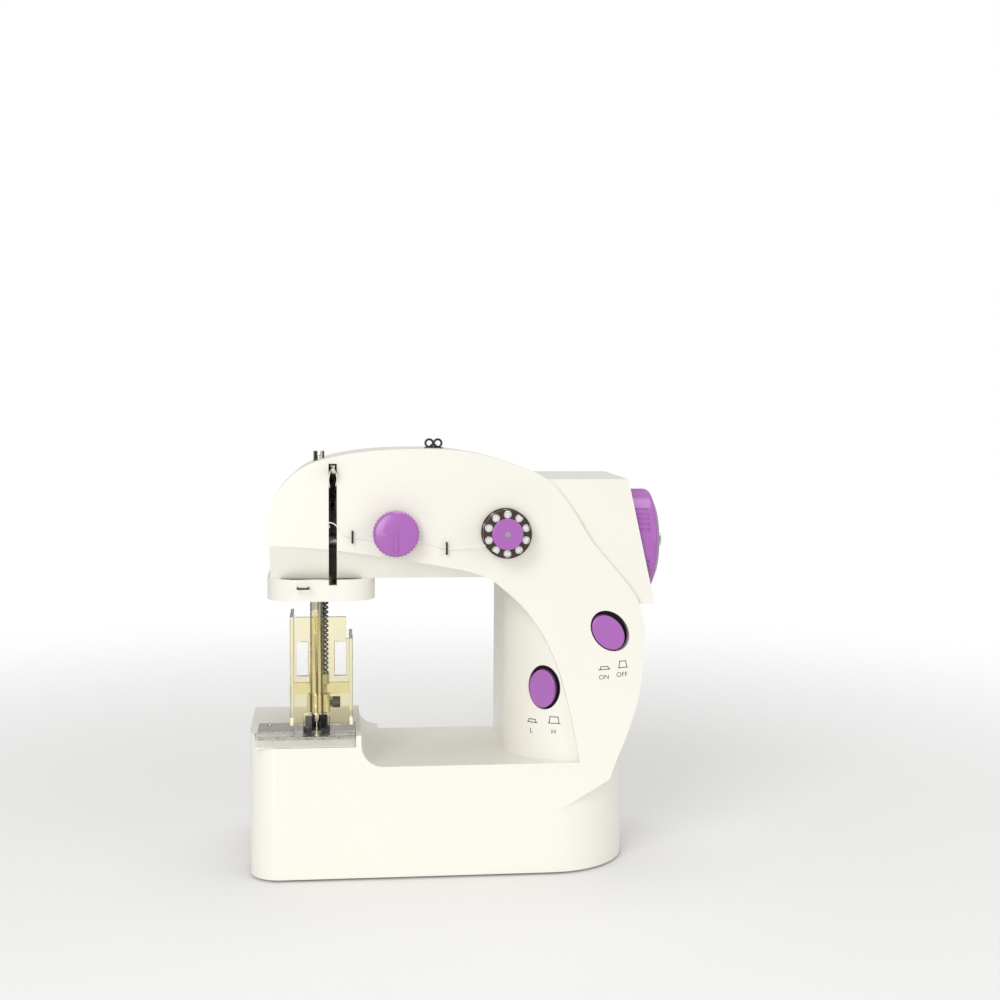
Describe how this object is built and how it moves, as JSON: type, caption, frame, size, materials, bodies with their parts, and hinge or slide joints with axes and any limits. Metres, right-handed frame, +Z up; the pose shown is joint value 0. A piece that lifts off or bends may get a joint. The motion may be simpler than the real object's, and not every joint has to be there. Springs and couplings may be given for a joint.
{
  "type": "toy sewing machine",
  "caption": "Small white toy sewing machine with a purple handwheel, tension knob and push buttons, a front bobbin, a clear finger guard and a needle that moves up and down.",
  "frame": {"origin": "centre of the bounding box on the table under the rubber feet", "axes": "+X to the handwheel, -Y to the user, +Z up; metres"},
  "size_m": [0.192, 0.104, 0.1992],
  "materials": {
    "white_plastic": "glossy white moulded plastic",
    "purple_plastic": "glossy purple moulded plastic",
    "brown_plastic": "dark brown moulded plastic",
    "dark_plastic": "matte dark plastic",
    "grey_plastic": "matte grey plastic",
    "guard_plastic": "clear plastic with a yellow tint",
    "clear_plastic": "clear plastic",
    "steel": "brushed steel",
    "chrome": "polished plating",
    "dark_metal": "dark lacquered metal",
    "cast_frame": "cast light metal",
    "bronze": "plain bearing bronze",
    "belt_rubber": "belt rubber",
    "foot_rubber": "soft rubber",
    "thread": "sewing thread"
  },
  "bodies": {
    "case": {"front_case": "white_plastic", "rear_case": "white_plastic", "head_base": "white_plastic", "bottom_plate": "white_plastic", "battery_tray": "grey_plastic", "battery_contacts": "chrome", "rubber_feet": "foot_rubber", "case_screws": "dark_metal", "needle_plate": "steel", "arm_frame": "cast_frame", "shaft_bushes": "bronze", "timing_belt": "belt_rubber", "drive_belt": "belt_rubber", "lower_bearings": "grey_plastic", "guide_rods": "steel", "motor": "steel", "motor_bracket": "cast_frame", "bar_bushes": "bronze", "tension_stud": "steel", "tension_discs": "chrome", "tension_spring": "steel", "bobbin_spindle": "steel", "bobbin_cap": "purple_plastic", "wire_guides": "dark_metal", "top_guide": "dark_metal", "upper_thread": "thread", "switches": "dark_plastic", "sockets": "dark_plastic"},
    "main_shaft": {"upper_shaft": "steel", "crank_disc": "dark_plastic", "handwheel": "purple_plastic", "shaft_pulleys": "dark_plastic"},
    "lower_drive": {"lower_shaft": "steel", "lower_pulley": "dark_plastic", "hook": "chrome", "feed_cam": "dark_plastic"},
    "motor_rotor": {"motor_pulley": "dark_plastic"},
    "needle_unit": {"needle_bar": "chrome", "needle_yoke": "dark_plastic", "needle_clamp": "chrome", "clamp_screw": "dark_metal", "needle": "chrome"},
    "presser_unit": {"presser_bar": "chrome", "bar_collars": "steel", "presser_spring": "dark_metal", "presser_foot": "dark_metal", "foot_screw": "chrome", "finger_guard": "guard_plastic"},
    "lifter": {"presser_lifter": "white_plastic"},
    "take_up": {"take_up_lever": "chrome"},
    "under_bobbin": {"lower_bobbin": "brown_plastic"},
    "feed": {"feed_dog": "steel"},
    "tension": {"tension_knob": "purple_plastic"},
    "supply": {"supply_bobbin": "brown_plastic", "bobbin_thread": "thread"},
    "power": {"power_button": "purple_plastic"},
    "speed": {"speed_button": "purple_plastic"},
    "cover": {"bobbin_cover": "clear_plastic"},
    "door": {"battery_door": "white_plastic"}
  },
  "joints": [
    {"name": "wheel_turn", "type": "hinge", "parent": "case", "child": "main_shaft", "pos_m": [0.08, -0.008, 0.151], "axis": [1, 0, 0], "continuous": true},
    {"name": "lower_turn", "type": "hinge", "parent": "case", "child": "lower_drive", "pos_m": [0, -0.024, 0.045], "axis": [1, 0, 0], "continuous": true},
    {"name": "motor_turn", "type": "hinge", "parent": "case", "child": "motor_rotor", "pos_m": [0.06, 0.026, 0.09415], "axis": [1, 0, 0], "continuous": true},
    {"name": "needle_slide", "type": "slide", "parent": "case", "child": "needle_unit", "axis": [0, 0, 1], "range_m": [0, 0.02]},
    {"name": "lifter_turn", "type": "hinge", "parent": "case", "child": "lifter", "pos_m": [-0.0648, 0.02, 0.1339], "axis": [0, 1, 0], "range_deg": [0, 90]},
    {"name": "presser_slide", "type": "slide", "parent": "case", "child": "presser_unit", "axis": [0, 0, 1], "range_m": [0, 0.005], "deforming": ["presser_spring"]},
    {"name": "take_up_swing", "type": "hinge", "parent": "case", "child": "take_up", "pos_m": [-0.0586, 0.008, 0.168], "axis": [1, 0, 0], "range_deg": [0, 38]},
    {"name": "under_bobbin_turn", "type": "hinge", "parent": "lower_drive", "child": "under_bobbin", "pos_m": [-0.074, -0.024, 0.045], "axis": [1, 0, 0], "continuous": true},
    {"name": "feed_slide", "type": "slide", "parent": "case", "child": "feed", "axis": [0, 1, 0], "range_m": [-0.0012, 0.0012]},
    {"name": "tension_turn", "type": "hinge", "parent": "case", "child": "tension", "pos_m": [-0.031, -0.047, 0.158], "axis": [0, -1, 0], "range_deg": [-270, 270]},
    {"name": "supply_turn", "type": "hinge", "parent": "case", "child": "supply", "pos_m": [0.018, -0.046, 0.158], "axis": [0, -1, 0], "continuous": true},
    {"name": "power_press", "type": "slide", "parent": "case", "child": "power", "axis": [0, 1, 0], "range_m": [0, 0.0025], "stiffness_N_per_m": 400},
    {"name": "speed_press", "type": "slide", "parent": "case", "child": "speed", "axis": [0.515, 0.8572, 0], "range_m": [0, 0.0025], "stiffness_N_per_m": 400},
    {"name": "cover_slide", "type": "slide", "parent": "case", "child": "cover", "axis": [0, -1, 0], "range_m": [0, 0.03]},
    {"name": "door_slide", "type": "slide", "parent": "case", "child": "door", "axis": [0, 1, 0], "range_m": [0, 0.08]}
  ],
  "couplings": [
    {"joint": "lower_turn", "follows": "wheel_turn", "ratio": 1},
    {"joint": "motor_turn", "follows": "wheel_turn", "ratio": 2.5},
    {"joint": "lifter_turn", "follows": "presser_slide", "rad_per_m": 314.16}
  ]
}
